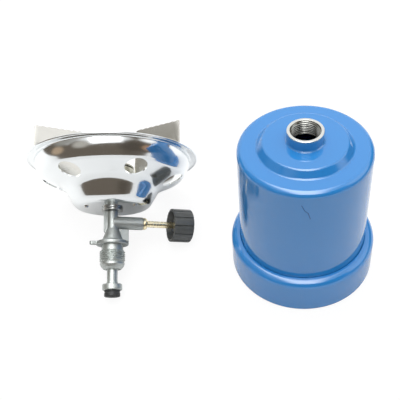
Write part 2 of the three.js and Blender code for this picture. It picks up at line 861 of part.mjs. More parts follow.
// Outline of one blade: its lower edge follows the dish's inside, and its level top is toothed.
function bladeOutline() {
  const bed = rounded(offsetCorners(dishCorners(), dishWall + seatGap));
  const tabEnd = bladeInner + tabLength;
  const topEnd = bladeInner + bladeLean;
  const middle = bed.filter((point) => point.x > tabEnd && point.x < bladeOuter);
  const teeth = Math.floor((bladeOuter - topEnd) / toothPitch);
  const pitch = (bladeOuter - topEnd) / teeth;
  const top = Array.from({ length: teeth }, (_, tooth) => [
    [bladeOuter - tooth * pitch, bladeTop],
    [bladeOuter - tooth * pitch - toothLand, bladeTop],
    [bladeOuter - (tooth + 1) * pitch, bladeTop - toothDepth],
  ]).flat();
  return [
    [bladeInner, dishFloor - tabDrop],
    [tabEnd, dishFloor - tabDrop],
    [tabEnd, heightOn(bed, tabEnd)],
    ...middle.map((point) => [point.x, point.y]),
    [bladeOuter, heightOn(bed, bladeOuter)],
    ...top,
  ];
}

function panSupports() {
  return around(bladeCount, (angle, index) => {
    const blade = uprightPlate(bladeOutline(), bladeThickness).rotateZ(dishAngle + angle);
    return piece(`pan_support_${index + 1}`, blade, finishes.galvanised);
  });
}

const holder = new THREE.Group();
holder.add(baseCap(), holderShell(), threadedCollar(), collarWasher());

const valve = new THREE.Group();
valve.add(needleSeal(), piercingNeedle(), inletFilter(), valveBody(), packingGland(), spindleRing());
valve.add(spindle(), knob(), gasJet(), mixingTube(), dish(), dishLockNut());
valve.add(burnerCup(), flameRing(), burnerCap(), ...panSupports());
valve.rotation.z = laySpin;

const burnerUnit = new THREE.Group();
burnerUnit.add(valve);
burnerUnit.position.set(layTipX, -layBack, layTipHeight);
burnerUnit.rotation.set(layTilt - Math.PI / 2, 0, THREE.MathUtils.degToRad(layYaw), "ZXY");

const stove = new THREE.Group();
stove.add(holder, burnerUnit);

export default stove;
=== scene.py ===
import json
import math

import bmesh
import bpy
import numpy as np
from mathutils import Matrix, Vector


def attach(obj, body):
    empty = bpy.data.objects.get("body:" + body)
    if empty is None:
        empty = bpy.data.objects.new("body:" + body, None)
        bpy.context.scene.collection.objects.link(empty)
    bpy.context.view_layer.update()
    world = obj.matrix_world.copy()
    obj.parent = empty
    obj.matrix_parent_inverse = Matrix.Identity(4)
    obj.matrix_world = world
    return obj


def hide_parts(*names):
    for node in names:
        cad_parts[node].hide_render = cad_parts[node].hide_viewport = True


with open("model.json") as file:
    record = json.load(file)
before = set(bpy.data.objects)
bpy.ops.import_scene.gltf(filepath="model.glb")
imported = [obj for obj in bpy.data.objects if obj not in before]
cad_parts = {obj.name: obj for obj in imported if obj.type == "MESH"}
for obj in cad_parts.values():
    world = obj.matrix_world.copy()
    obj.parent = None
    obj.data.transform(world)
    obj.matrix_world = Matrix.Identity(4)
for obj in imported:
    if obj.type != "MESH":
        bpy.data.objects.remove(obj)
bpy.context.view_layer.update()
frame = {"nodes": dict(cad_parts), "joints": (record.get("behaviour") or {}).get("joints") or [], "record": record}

mm = 0.001
turn = 2 * math.pi
print("stage: frame loaded")


# Axes of the lying burner unit, read from the frame: its valve axis, its side arm and its tip
mounts = {mount["name"]: mount for mount in frame["record"]["mounts"]}
knobJoint = next(joint for joint in frame["joints"] if joint["name"] == "knob_turn")
armHeight = 58.6  # along the valve's axis, from the tip to the side arm
armAxis = Vector(knobJoint["axis"]).normalized()
valveAxis = -Vector(mounts["valve_flange_seat"]["axis"]).normalized()
crossAxis = valveAxis.cross(armAxis).normalized()
tipPoint = Vector(knobJoint["pos_m"]) - valveAxis * armHeight * mm
lay = Matrix.Translation(tipPoint) @ Matrix((armAxis, crossAxis, valveAxis)).transposed().to_4x4()
arm = lay @ Matrix.Translation((0, 0, armHeight * mm)) @ Matrix.Rotation(math.pi / 2, 4, "Y")
upright = Matrix.Identity(4)


# Sections: a list of corners (radius, height, bend) becomes a smooth line

bendSizes = {
    "legShare": 0.96,  # how much of a straight its two bends may use
    "leastInner": 0.1,  # a sheet's least inner bend, as a share of the outer one
}


def rounded(corners, steps=8, s=bendSizes):
    points = [Vector(corner[:2]) for corner in corners]
    bends = [corner[2] if len(corner) > 2 else 0 for corner in corners]
    legs = [b - a for a, b in zip(points, points[1:])]
    reaches = [0.0] * len(points)
    halves = [0.0] * len(points)
    for i in range(1, len(points) - 1):
        halves[i] = (math.pi - legs[i - 1].angle(legs[i])) / 2
        reaches[i] = bends[i] / math.tan(halves[i]) if bends[i] else 0
    for i, leg in enumerate(legs):
        used, room = reaches[i] + reaches[i + 1], leg.length * s["legShare"]
        if used > room:
            reaches[i] *= room / used
            reaches[i + 1] *= room / used
    line = []
    for i, point in enumerate(points):
        if not reaches[i]:
            line.append(tuple(point))
            continue
        start = point - legs[i - 1].normalized() * reaches[i]
        end = point + legs[i].normalized() * reaches[i]
        radius = reaches[i] * math.tan(halves[i])
        toCentre = ((start + end) / 2 - point).normalized()
        centre = point + toCentre * math.hypot(reaches[i], radius)
        first = math.atan2(*(start - centre).yx)
        sweep = math.remainder(math.atan2(*(end - centre).yx) - first, turn)
        for step in range(steps + 1):
            angle = first + sweep * step / steps
            line.append((centre.x + radius * math.cos(angle),
                         centre.y + radius * math.sin(angle)))
    return line


def beside(corners, distance, s=bendSizes):
    # The same corners, moved to their left: the other face of a sheet.
    points = [Vector(corner[:2]) for corner in corners]
    normals = [Vector((a.y - b.y, b.x - a.x)).normalized() for a, b in zip(points, points[1:])]
    made = []
    for i, corner in enumerate(corners):
        before, after = normals[max(i - 1, 0)], normals[min(i, len(normals) - 1)]
        middle = (before + after).normalized()
        side = before.x * after.y - before.y * after.x
        bend = corner[2] if len(corner) > 2 else 0
        least = bend * s["leastInner"]
        inner = max(bend - math.copysign(distance, side), least) if bend else 0
        place = points[i] + middle * distance / middle.dot(before)
        made.append((place.x, place.y, inner))
    return made


def sheetSection(corners, wall, steps):
    return rounded(corners, steps) + rounded(beside(corners, wall), steps)[::-1]


# Meshes

def meshObject(name, points, faces):
    mesh = bpy.data.meshes.new(name)
    mesh.from_pydata([tuple(c * mm for c in point) for point in points], [], faces)
    mesh.validate()
    made = bpy.data.objects.new(name, mesh)
    bpy.context.scene.collection.objects.link(made)
    return made


def revolved(name, section, sides, warp=None, onAxis=1e-6):
    # The section runs counterclockwise. It closes on itself, or starts and ends on the axis.
    points, rows = [], []
    for radius, height in section:
        if radius < onAxis:
            rows.append([len(points)] * sides)
            points.append((0, 0, height))
            continue
        rows.append(list(range(len(points), len(points) + sides)))
        for side in range(sides):
            angle = turn * side / sides
            r, z = warp(radius, height, angle) if warp else (radius, height)
            points.append((r * math.cos(angle), r * math.sin(angle), z))
    pairs = list(zip(rows, rows[1:]))
    if section[0][0] > onAxis:
        pairs.append((rows[-1], rows[0]))
    faces = []
    for low, high in pairs:
        for side in range(sides):
            after = (side + 1) % sides
            corners = [low[side], low[after], high[after], high[side]]
            face = list(dict.fromkeys(corners))
            if len(face) > 2:
                faces.append(face)
    return meshObject(name, points, faces)


def prism(name, outline, low, high):
    # An outline in XY, raised along Z.
    count = len(outline)
    points = [(x, y, z) for z in (low, high) for x, y in outline]
    faces = [list(range(count))[::-1], list(range(count, 2 * count))]
    faces += [[i, (i + 1) % count, count + (i + 1) % count, count + i] for i in range(count)]
    return meshObject(name, points, faces)


def rod(name, radius, low, high, sides=48):
    # A cylinder. Each bore in the settings is these numbers.
    return revolved(name, [(0, low), (radius, low), (radius, high), (0, high)], sides)


def turned(name, s):
    # A piece turned round its axis, from the corners in its settings.
    return revolved(name, rounded(s["section"], s["bendSteps"]), s["sides"])


def block(name, size, centre):
    x, y, z = (side / 2 for side in size)
    made = prism(name, [(-x, -y), (x, -y), (x, y), (-x, y)], -z, z)
    made.data.transform(Matrix.Translation(Vector(centre) * mm))
    return made


def moved(piece, matrix):
    piece.data.transform(matrix)
    return piece


def along(angle, radius=0, height=0):
    # A place on or beside the piece's axis, turned to an angle.
    return Matrix.Rotation(angle, 4, "Z") @ Matrix.Translation((radius * mm, 0, height * mm))


def applied(piece):
    graph = bpy.context.evaluated_depsgraph_get()
    mesh = bpy.data.meshes.new_from_object(piece.evaluated_get(graph))
    piece.modifiers.clear()
    piece.data = mesh


def combined(piece, others, operation="DIFFERENCE"):
    for other in others:
        modifier = piece.modifiers.new(operation.lower(), "BOOLEAN")
        modifier.operation = operation
        modifier.solver = "EXACT"
        modifier.object = other
    applied(piece)
    for other in others:
        bpy.data.objects.remove(other)
    return piece


def slotted(piece, size, height, angles):
    # Cuts the same slot across the axis at each angle.
    return combined(piece, [moved(block("slot", size, (0, 0, height)), along(a)) for a in angles])


def joinedMesh(piece, others):
    # Several closed bodies in one mesh, before a remesh melts them together.
    whole = bmesh.new()
    whole.from_mesh(piece.data)
    for other in others:
        whole.from_mesh(other.data)
        bpy.data.objects.remove(other)
    whole.to_mesh(piece.data)
    whole.free()


def bevelled(piece, width, segments, angle):
    modifier = piece.modifiers.new("edges", "BEVEL")
    modifier.width = width * mm
    modifier.segments = segments
    modifier.limit_method = "ANGLE"
    modifier.angle_limit = math.radians(angle)
    applied(piece)


def turnedNormals(piece, section, sharpCosine=0.8, cutCosine=0.7, least=1e-9):
    # Shades a cut piece as the smooth turned surface that it was before it was cut.
    line = np.array(list(section) + [section[0]])
    step = np.diff(line, axis=0)
    length = np.maximum(np.hypot(*step.T), least)
    flat = np.stack([step[:, 1], -step[:, 0]], 1) / length[:, None]
    before = np.roll(flat, 1, axis=0)
    sharp = (flat * before).sum(1) < sharpCosine
    startNormal = np.where(sharp[:, None], flat, flat + before)
    endNormal = np.where(sharp[:, None], before, flat + before)
    endNormal = np.roll(endNormal, -1, axis=0)
    mesh = piece.data
    points = np.empty(len(mesh.vertices) * 3)
    mesh.vertices.foreach_get("co", points)
    points = points.reshape(-1, 3) / mm
    radius = np.hypot(points[:, 0], points[:, 1])
    place = np.stack([radius, points[:, 2]], 1)
    offset = place[:, None, :] - line[None, :-1, :]
    share = np.clip((offset * step[None]).sum(2) / (length ** 2)[None], 0, 1)
    gap = np.linalg.norm(offset - share[:, :, None] * step[None], axis=2)
    nearest = gap.argmin(1)
    rows = np.arange(len(points))
    s = share[rows, nearest][:, None]
    normal = startNormal[nearest] * (1 - s) + endNormal[nearest] * s
    normal /= np.linalg.norm(normal, axis=1)[:, None]
    direction = points[:, :2] / np.maximum(radius, least)[:, None]
    full = np.column_stack([direction * normal[:, :1], normal[:, 1]])
    loops = []
    for face in mesh.polygons:
        for index in face.vertices:
            smooth = Vector(full[index])
            loops.append(smooth if smooth.dot(face.normal) > cutCosine else face.normal)
    mesh.normals_split_custom_set(loops)


def finished(piece, material, slotName, body, *nodes, smoothAngle=38):
    piece.data.materials.clear()
    piece.data.materials.append(material)
    if smoothAngle:
        piece.data.polygons.foreach_set("use_smooth", [True] * len(piece.data.polygons))
        piece.data.set_sharp_from_angle(angle=math.radians(smoothAngle))
    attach(piece, body)
    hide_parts(*nodes)


def turnedPiece(name, s, placement, *use):
    # A whole piece turned round its axis, with what finished() asks for.
    finished(moved(turned(name, s), placement), *use)


# Shared effects, each a node group of its own

def feed(tree, value, socket):
    # Links an output to a socket, or sets a number or a colour on it.
    if isinstance(value, bpy.types.NodeSocket):
        tree.links.new(value, socket)
    else:
        socket.default_value = value


def node(tree, kind, **values):
    # A name with in_ before it fills that input, and any other is a setting of the node.
    made = tree.nodes.new(kind)
    for key, value in values.items():
        if key.startswith("in_"):
            feed(tree, value, made.inputs[key[3:].replace("_", " ")])
        else:
            setattr(made, key, value)
    return made


def math2(tree, operation, a, b=None, clamp=False):
    made = node(tree, "ShaderNodeMath", operation=operation, use_clamp=clamp)
    for socket, value in zip(made.inputs, (a, b)):
        if value is not None:
            feed(tree, value, socket)
    return made.outputs[0]


def spread(tree, value, low, high, toLow=0.0, toHigh=1.0):
    made = node(tree, "ShaderNodeMapRange", interpolation_type="SMOOTHSTEP")
    for socket, part in zip(made.inputs, (value, low, high, toLow, toHigh)):
        feed(tree, part, socket)
    return made.outputs["Result"]


def mixed(tree, mask, below, above):
    # One colour over another by a mask; a colour is three numbers or a socket.
    made = node(tree, "ShaderNodeMix", data_type="RGBA", in_Factor=mask)
    for label, colour in (("A", below), ("B", above)):
        feed(tree, (*colour, 1) if isinstance(colour, tuple) else colour, made.inputs[label])
    return made.outputs["Result"]


def product(tree, value, *others):
    for other in others:
        value = math2(tree, "MULTIPLY", value, other)
    return value


def hypotenuse(tree, a, b):
    return math2(tree, "SQRT", math2(tree, "ADD", product(tree, a, a), product(tree, b, b)))


def dotProduct(tree, *vectors):
    made = node(tree, "ShaderNodeVectorMath", operation="DOT_PRODUCT")
    for socket, vector in zip(made.inputs, vectors):
        feed(tree, vector, socket)
    return made.outputs["Value"]


def coordinates(tree, place):
    return node(tree, "ShaderNodeSeparateXYZ", in_Vector=place).outputs


def newGroup(name, numbers, output):
    # A group that takes a place and some numbers, and gives one value.
    group = bpy.data.node_groups.new(name, "ShaderNodeTree")
    group.interface.new_socket("Place", in_out="INPUT", socket_type="NodeSocketVector")
    for label, value in numbers.items():
        socket = group.interface.new_socket(label, in_out="INPUT", socket_type="NodeSocketFloat")
        socket.default_value = value
    group.interface.new_socket(output, in_out="OUTPUT", socket_type="NodeSocketFloat")
    entry, leave = group.nodes.new("NodeGroupInput"), group.nodes.new("NodeGroupOutput")
    return group, entry.outputs, leave.inputs[output]


perMetre = 1000.0  # textures count in metres, and their settings are in millimetres


def makeGrain():
    # Uneven grain at one scale: a value from 0 to 1.
    numbers = {"Size mm": 1.0, "Detail": 3.0, "Contrast": 0.25}
    group, given, leave = newGroup("grain", numbers, "Value")
    scale = math2(group, "DIVIDE", perMetre, given["Size mm"])
    noise = node(group, "ShaderNodeTexNoise", in_Vector=given["Place"],
                 in_Detail=given["Detail"], in_Scale=scale)
    low = math2(group, "SUBTRACT", 0.5, given["Contrast"])
    high = math2(group, "ADD", 0.5, given["Contrast"])
    feed(group, spread(group, noise.outputs["Fac"], low, high), leave)
    return group


def makeTurning():
    # Fine rings round the piece's own Z axis, as a lathe or a spinning tool leaves them.
    group, given, leave = newGroup("turning", {"Rings per mm": 4.0, "Run": 0.05}, "Value")
    x, y, z = coordinates(group, given["Place"])
    density = product(group, given["Rings per mm"], perMetre)
    join = node(group, "ShaderNodeCombineXYZ",
                in_X=product(group, hypotenuse(group, x, y), density),
                in_Y=product(group, z, density),
                in_Z=product(group, math2(group, "ARCTAN2", y, x), given["Run"]))
    noise = node(group, "ShaderNodeTexNoise", in_Scale=1.0, in_Detail=2.0,
                 in_Vector=join.outputs[0])
    feed(group, noise.outputs["Fac"], leave)
    return group


edgeWear = {"samples": 6, "turned": (0.02, 0.18), "detail": 4.0, "broken": (0.35, 0.6)}


def makeEdgeWear(s=edgeWear):
    # 1 on sharp outer edges, broken up by noise, and 0 elsewhere.
    group, given, leave = newGroup("edge wear", {"Width mm": 0.3, "Breakup mm": 1.5}, "Mask")
    width = math2(group, "DIVIDE", given["Width mm"], perMetre)
    bevel = node(group, "ShaderNodeBevel", samples=s["samples"], in_Radius=width)
    geometry = node(group, "ShaderNodeNewGeometry")
    flat = dotProduct(group, bevel.outputs[0], geometry.outputs["Normal"])
    edge = spread(group, math2(group, "SUBTRACT", 1.0, flat), *s["turned"])
    scale = math2(group, "DIVIDE", perMetre, given["Breakup mm"])
    noise = node(group, "ShaderNodeTexNoise", in_Detail=s["detail"], in_Scale=scale,
                 in_Vector=given["Place"])
    broken = spread(group, noise.outputs["Fac"], *s["broken"])
    feed(group, product(group, edge, broken), leave)
    return group


grainGroup = makeGrain()
turningGroup = makeTurning()
edgeWearGroup = makeEdgeWear()
print("stage: shared effects made")


# Materials

class Finish:
    # A material being put together: its shader, and its place in the piece's own axes.
    def __init__(self, name, colour, metallic, roughness, placement=upright):
        self.material = bpy.data.materials.new(name)
        self.material.use_nodes = True
        self.material.diffuse_color = (*colour, 1)
        self.tree = self.material.node_tree
        self.shader = self.tree.nodes["Principled BSDF"].inputs
        self.colour = colour
        self.put("Base Color", (*colour, 1))
        self.put("Metallic", metallic)
        self.put("Roughness", roughness)
        own = placement.inverted()
        place = node(self.tree, "ShaderNodeTexCoord").outputs["Object"]
        mapping = node(self.tree, "ShaderNodeMapping", in_Vector=place,
                       in_Location=own.translation, in_Rotation=own.to_euler())
        self.place = mapping.outputs["Vector"]

    def put(self, label, value):
        feed(self.tree, value, self.shader[label])

    def effect(self, group, **values):
        made = node(self.tree, "ShaderNodeGroup", node_tree=group, in_Place=self.place)
        for label, value in values.items():
            made.inputs[label.replace("_", " ")].default_value = value
        return made.outputs[0]

    def tint(self, mask, colour, strength=1.0):
        # Paints a colour over what is there, where the mask is 1.
        base = self.shader["Base Color"]
        below = base.links[0].from_socket if base.is_linked else self.colour
        mask = product(self.tree, mask, strength)
        self.put("Base Color", mixed(self.tree, mask, below, colour))

    def rough(self, mask, low, high):
        self.put("Roughness", spread(self.tree, mask, 0, 1, low, high))

    def relief(self, height, depth):
        # depth is in millimetres from the mask's 0 to its 1.
        bump = node(self.tree, "ShaderNodeBump", in_Strength=1.0, in_Distance=depth * mm,
                    in_Height=height)
        normal = self.shader["Normal"]
        if normal.is_linked:
            feed(self.tree, normal.links[0].from_socket, bump.inputs["Normal"])
        self.put("Normal", bump.outputs["Normal"])


enamelBlue = (0.017, 0.185, 0.49)
enamelLook = {
    "roughness": 0.5, "coatRoughness": 0.03, "coatIor": 1.85,
    "mottles": (  # grain, colour, strength
        (30.0, (0.02, 0.2, 0.52), 0.4),
        (1.3, (0.015, 0.17, 0.46), 0.3),
    ),
    "peelGrain": 5.0, "peelDepth": 0.008,
    "wearWidth": 0.35, "wearBreakup": 1.1, "wearColour": (0.16, 0.36, 0.62), "wearStrength": 0.35,
    "scratch": ((-10.4, 105.0), (-8.4, 100.2), (-6.1, 98.0), (-4.5, 92.5)), "scratchWidth": 0.55,
    "scratchColour": (0.008, 0.03, 0.09), "scratchStrength": 0.9,
}


def scratchMask(finish, s=enamelLook):
    # The thin scratch on the front of the can, as a line of short straight parts across X and Z.
    tree = finish.tree
    x, y, z = coordinates(tree, finish.place)
    nearest = None
    for (startX, startZ), (endX, endZ) in zip(s["scratch"], s["scratch"][1:]):
        acrossX, acrossZ = (endX - startX) * mm, (endZ - startZ) * mm
        length = acrossX ** 2 + acrossZ ** 2
        fromX = math2(tree, "SUBTRACT", x, startX * mm)
        fromZ = math2(tree, "SUBTRACT", z, startZ * mm)
        share = math2(tree, "ADD", product(tree, fromX, acrossX / length),
                      product(tree, fromZ, acrossZ / length), clamp=True)
        gap = hypotenuse(tree, math2(tree, "SUBTRACT", fromX, product(tree, share, acrossX)),
                         math2(tree, "SUBTRACT", fromZ, product(tree, share, acrossZ)))
        nearest = gap if nearest is None else math2(tree, "MINIMUM", nearest, gap)
    half = s["scratchWidth"] * mm / 2
    return product(tree, spread(tree, nearest, half, half / 2), math2(tree, "LESS_THAN", y, 0.0))


def lacquered(finish, s=enamelLook):
    # The clear glossy layer over the blue.
    finish.put("Coat Roughness", s["coatRoughness"])
    finish.put("Coat IOR", s["coatIor"])


def blueEnamel(s=enamelLook):
    finish = Finish("blueEnamel", enamelBlue, 0.0, s["roughness"])
    lacquered(finish)
    finish.put("Specular IOR Level", 0.0)
    for grain, colour, strength in s["mottles"]:
        mottle = finish.effect(grainGroup, Size_mm=grain, Detail=2.0, Contrast=0.5)
        finish.tint(mottle, colour, strength)
    peel = finish.effect(grainGroup, Size_mm=s["peelGrain"], Detail=1.0, Contrast=0.5)
    finish.relief(peel, s["peelDepth"])
    wear = finish.effect(edgeWearGroup, Width_mm=s["wearWidth"], Breakup_mm=s["wearBreakup"])
    finish.tint(wear, s["wearColour"], s["wearStrength"])
    mark = scratchMask(finish)
    finish.tint(mark, s["scratchColour"], s["scratchStrength"])
    finish.put("Coat Weight", math2(finish.tree, "SUBTRACT", 1.0, mark))
    return finish.material


def metalFinish(name, colour, roughness, placement, rings=0.0, ringDepth=0.0, grain=0.0,
                grainDepth=0.0, wear=(0.9, 0.9, 0.88), wearStrength=0.4, mottle=None):
    # mottle is a grain in millimetres, a colour and a strength.
    low, high = roughness
    finish = Finish(name, colour, 1.0, low, placement)
    if mottle:
        cloud = finish.effect(grainGroup, Size_mm=mottle[0], Detail=4.0, Contrast=0.3)
        finish.tint(cloud, mottle[1], mottle[2])
    if rings:
        lines = finish.effect(turningGroup, Rings_per_mm=rings, Run=0.4)
        finish.relief(lines, ringDepth)
        finish.rough(lines, low, high)
    if grain:
        skin = finish.effect(grainGroup, Size_mm=grain, Detail=5.0, Contrast=0.35)
        finish.relief(skin, grainDepth)
        if not rings:
            finish.rough(skin, low, high)
    edge = finish.effect(edgeWearGroup, Width_mm=0.2, Breakup_mm=0.8)
    finish.tint(edge, wear, wearStrength)
    return finish.material


collarLook = {
    "steel": (0.78, 0.79, 0.76), "roughness": 0.2, "rings": 5.0, "ringDepth": 0.004,
    "outside": (11.5, 11.8), "paintTop": 128.2, "paintFade": 0.25,
    "ragged": 0.35, "raggedGrain": 1.6,
    "brownAbove": (0.5, 0.1), "brown": (0.3, 0.24, 0.16), "brownStrength": 0.6,
    # Inside the bore, the thread's dark grey tint and the black below it are painted shade.
    "inside": (10.3, 10.45), "thread": (0.22, 0.225, 0.21), "threadShadeStrength": 0.8,
    "boreShadeHeights": (124.0, 119.6), "boreShade": (0.012, 0.012, 0.012),
}


def paintedCollar(s=collarLook):
    # Bright steel on the worn ring at the mouth and steel on the thread, the holder's blue on the outside; inside
    # the bore, painted shade: dark grey over the thread and black deeper down.
    finish = Finish("paintedCollar", s["steel"], 1.0, s["roughness"])
    tree = finish.tree
    x, y, z = coordinates(tree, finish.place)
    radius = hypotenuse(tree, x, y)
    ragged = finish.effect(grainGroup, Size_mm=s["raggedGrain"], Detail=3.0, Contrast=0.4)
    edge = math2(tree, "ADD", z, product(tree, ragged, s["ragged"] * mm))
    outside = spread(tree, radius, *(value * mm for value in s["outside"]))
    top, fade = s["paintTop"] * mm, s["paintFade"] * mm
    paint = product(tree, outside, spread(tree, edge, top, top - fade))
    brown = spread(tree, edge, *(top + above * mm for above in s["brownAbove"]))
    finish.tint(product(tree, outside, brown), s["brown"], s["brownStrength"])
    # Painted shade inside the bore: black deeper down, and dark grey over the whole thread.
    inside = spread(tree, radius, *(value * mm for value in s["inside"]))
    inside = math2(tree, "SUBTRACT", 1.0, inside)
    boreShade = product(tree, inside, spread(tree, z, *(value * mm for value in s["boreShadeHeights"])))
    finish.tint(boreShade, s["boreShade"])
    finish.tint(inside, s["thread"], s["threadShadeStrength"])
    finish.relief(finish.effect(turningGroup, Rings_per_mm=s["rings"], Run=0.4), s["ringDepth"])
    finish.tint(paint, enamelBlue)
    finish.put("Metallic", math2(tree, "SUBTRACT", 1.0, paint))
    finish.put("Coat Weight", paint)
    lacquered(finish)
    finish.rough(paint, s["roughness"], enamelLook["roughness"])
    return finish.material


darkLook = {"dustLift": 1.5, "dustStrength": 0.5, "wornStrength": 0.4}


def darkFinish(name, colour, roughness, placement, grain, grainDepth, worn, s=darkLook):
    finish = Finish(name, colour, 0.0, roughness[0], placement)
    skin = finish.effect(grainGroup, Size_mm=grain, Detail=4.0, Contrast=0.35)
    finish.relief(skin, grainDepth)
    finish.rough(skin, *roughness)
    dust = finish.effect(grainGroup, Size_mm=6.0, Detail=5.0, Contrast=0.2)
    finish.tint(dust, tuple(c * s["dustLift"] for c in colour), s["dustStrength"])
    edge = finish.effect(edgeWearGroup, Width_mm=0.25, Breakup_mm=0.7)
    finish.tint(edge, worn, s["wornStrength"])
    return finish.material


enamel = blueEnamel()
collarPaint = paintedCollar()
chrome = metalFinish(
    "chromedSteel", (0.81, 0.835, 0.845), (0.1, 0.15), lay, rings=1.2, ringDepth=0.0008,
    mottle=(9.0, (0.78, 0.81, 0.82), 0.5), wear=(0.9, 0.92, 0.92), wearStrength=0.2)
washerSteel = metalFinish(
    "turnedCollarSteel", (0.8, 0.8, 0.77), (0.14, 0.26), upright, rings=5.0, ringDepth=0.006)
casting = metalFinish(
    "zincCasting", (0.43, 0.455, 0.445), (0.42, 0.56), lay, grain=0.9, grainDepth=0.03,
    mottle=(3.5, (0.3, 0.32, 0.31), 0.5), wear=(0.8, 0.82, 0.8))
plugZinc = metalFinish(
    "machinedZinc", (0.5, 0.53, 0.515), (0.4, 0.52), lay, rings=3.0, ringDepth=0.004,
    grain=0.7, grainDepth=0.012, mottle=(3.0, (0.39, 0.42, 0.405), 0.5), wear=(0.8, 0.82, 0.8))
plainSteel = metalFinish(
    "plainSteel", (0.56, 0.57, 0.56), (0.2, 0.34), lay, rings=4.0, ringDepth=0.005,
    mottle=(5.0, (0.42, 0.42, 0.4), 0.5))
zincPlate = metalFinish(
    "zincPlate", (0.7, 0.69, 0.65), (0.2, 0.28), lay, grain=0.5, grainDepth=0.0006,
    mottle=(9.0, (0.64, 0.63, 0.59), 0.5))
brass = metalFinish(
    "brass", (0.83, 0.66, 0.33), (0.16, 0.3), lay, rings=4.0, ringDepth=0.004,
    mottle=(6.0, (0.74, 0.55, 0.24), 0.5), wear=(0.95, 0.85, 0.6))
heatBrass = metalFinish(
    "tarnishedBrass", (0.5, 0.49, 0.4), (0.3, 0.45), lay, rings=4.0, ringDepth=0.004,
    mottle=(5.0, (0.36, 0.36, 0.31), 0.6), wear=(0.7, 0.66, 0.52))
armBrass = metalFinish(
    "turnedBrass", (0.98, 0.88, 0.62), (0.22, 0.32), arm, rings=5.0, ringDepth=0.002,
    mottle=(5.0, (0.88, 0.72, 0.4), 0.4), wear=(0.95, 0.88, 0.68))
rubber = darkFinish(
    "blackRubber", (0.018, 0.019, 0.02), (0.42, 0.6), lay, grain=0.4, grainDepth=0.015,
    worn=(0.05, 0.05, 0.05))
plastic = darkFinish(
    "blackPlastic", (0.052, 0.055, 0.054), (0.34, 0.46), arm, grain=0.35, grainDepth=0.006,
    worn=(0.1, 0.1, 0.1))
print("stage: materials made")


# Cartridge holder

holderSizes = {
    "bodyRadius": 47, "bodyTop": 115.1, "wall": 1.0, "edge": 4.6,
    "discRadius": 29.3, "discRise": 5.2, "rampRun": 4.2, "discBend": 2.2, "hole": 11.7,
    "baseRadius": 54, "baseHeight": 30.4, "shoulder": 6.2, "lip": 0.6, "lipDepth": 4.3,
    "foot": 2.2, "mouthGap": 0.12, "bendSteps": 14, "sides": 192,
}
discTop = holderSizes["bodyTop"] + holderSizes["discRise"]


def baseCap(s=holderSizes):
    mouth = s["bodyRadius"] + s["mouthGap"]
    corners = [
        (0, 0), (s["baseRadius"], 0, s["foot"]), (s["baseRadius"], s["baseHeight"], s["shoulder"]),
        (mouth, s["baseHeight"], s["lip"]), (mouth, s["baseHeight"] - s["lipDepth"]),
    ]
    section = sheetSection(corners, s["wall"], s["bendSteps"])
    cap = revolved("blueBaseCap", section, s["sides"])
    finished(cap, enamel, "blue_enamel", "base", "base_cap")


def holderCan(s=holderSizes):
    corners = [
        (s["bodyRadius"], s["wall"]), (s["bodyRadius"], s["bodyTop"], s["edge"]),
        (s["discRadius"] + s["rampRun"], s["bodyTop"], s["discBend"]),
        (s["discRadius"], discTop, s["discBend"]), (s["hole"], discTop),
    ]
    section = sheetSection(corners, s["wall"], s["bendSteps"])
    can = revolved("blueHolderCan", section, s["sides"])
    finished(can, enamel, "blue_enamel", "holder", "holder_shell")


threadSizes = {
    "pitch": 1.5, "depth": 0.9, "slope": 1.5, "land": 0.25, "rowsPerTurn": 12, "near": 0.01,
}


def threadRows(root, start, end, s=threadSizes):
    count = int(abs(end - start) / s["pitch"] * s["rowsPerTurn"])
    return [(root, start + (end - start) * row / count) for row in range(1, count + 1)]


def helix(root, low, high, fade, outward, s=threadSizes):
    # Raises a thread from the rows of its root: flat at crest and root, and fading at both ends.
    def warp(radius, height, angle):
        toEnd = min(high - height, height - low)
        if abs(radius - root) > s["near"] or toEnd < s["near"]:
            return radius, height
        wave = abs((height / s["pitch"] - angle / turn) % 1 * 2 - 1) * s["slope"] - s["land"]
        ease = min(1, toEnd / fade)
        return radius + outward * s["depth"] * ease * min(max(wave, 0), 1), height

    return warp


collarSizes = {
    "root": 10.3, "wall": 2.35, "stand": 8.78, "chamfer": 0.4, "weld": 0.9, "weldBend": 0.6,
    "foot": 116.8, "footBend": 0.2, "washerFoot": 117.6, "washerBend": 0.1, "spigot": 11.4,
    "lip": 0.7, "mouthRun": 0.3, "mouthBend": 0.25, "mouthDrop": 0.5,
    "fade": 1.2, "bendSteps": 6, "sides": 120,
}


def threadedCollar(s=collarSizes):
    outer, top = s["root"] + s["wall"], discTop + s["stand"]
    low, high = s["foot"], top - s["mouthDrop"]
    lip = s["spigot"] + s["lip"]
    section = rounded([
        (s["root"], low), (lip, low, s["footBend"]), (lip, s["washerFoot"], s["washerBend"]),
        (s["spigot"], s["washerFoot"]), (s["spigot"], discTop), (outer + s["weld"], discTop),
        (outer, discTop + s["weld"], s["weldBend"]), (outer, top, s["chamfer"]),
        (s["root"] + s["mouthRun"], top, s["mouthBend"]), (s["root"], high),
    ], s["bendSteps"]) + threadRows(s["root"], high, low)[:-1]
    thread = helix(s["root"], low, high, s["fade"], -1)
    collar = revolved("threadedCollar", section, s["sides"], thread)
    finished(collar, collarPaint, "zinc_plate", "holder", "threaded_collar")


baseCap()
holderCan()
threadedCollar()
print("stage: holder made")


# Valve

tipSizes = {
    "section": [
        (2.3, 0), (6.2, 0, 1.0), (6.2, 3.0, 0.4), (5.8, 3.3, 0.3), (5.8, 3.9, 0.3),
        (6.2, 4.2, 0.3), (6.2, 4.8, 0.2), (4.9, 4.8), (4.9, 6.8), (2.3, 6.8), (2.3, 0.4, 0.3),
    ],
    "bendSteps": 5, "sides": 96,
}


